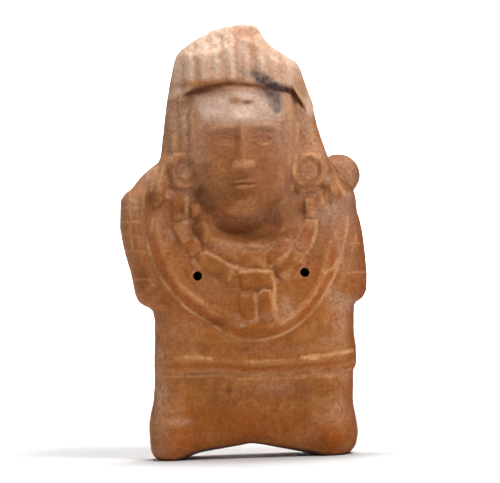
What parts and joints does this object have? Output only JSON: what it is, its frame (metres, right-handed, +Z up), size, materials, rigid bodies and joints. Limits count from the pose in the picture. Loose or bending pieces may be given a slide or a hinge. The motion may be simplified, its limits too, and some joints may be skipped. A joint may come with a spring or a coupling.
{
  "type": "terracotta figure rattle",
  "caption": "Hollow mould-made terracotta rattle in the form of a standing figure with headdress, ear discs, bead collar and tunic, vented through the chest.",
  "frame": {"origin": "on the surface that the feet stand on, under the middle of the figure's box", "axes": "+Z up the figure to its headdress, -Y the way it faces, +X towards the shoulder with the knob, on the right of someone who looks at its face"},
  "size_m": [0.098, 0.052, 0.172],
  "materials": {
    "terracotta": "unglazed low-fired orange-brown clay, matt, with pale dust in its grooves and a grey fire cloud"
  },
  "bodies": {
    "root": {"clay_figure": "terracotta"}
  },
  "joints": []
}
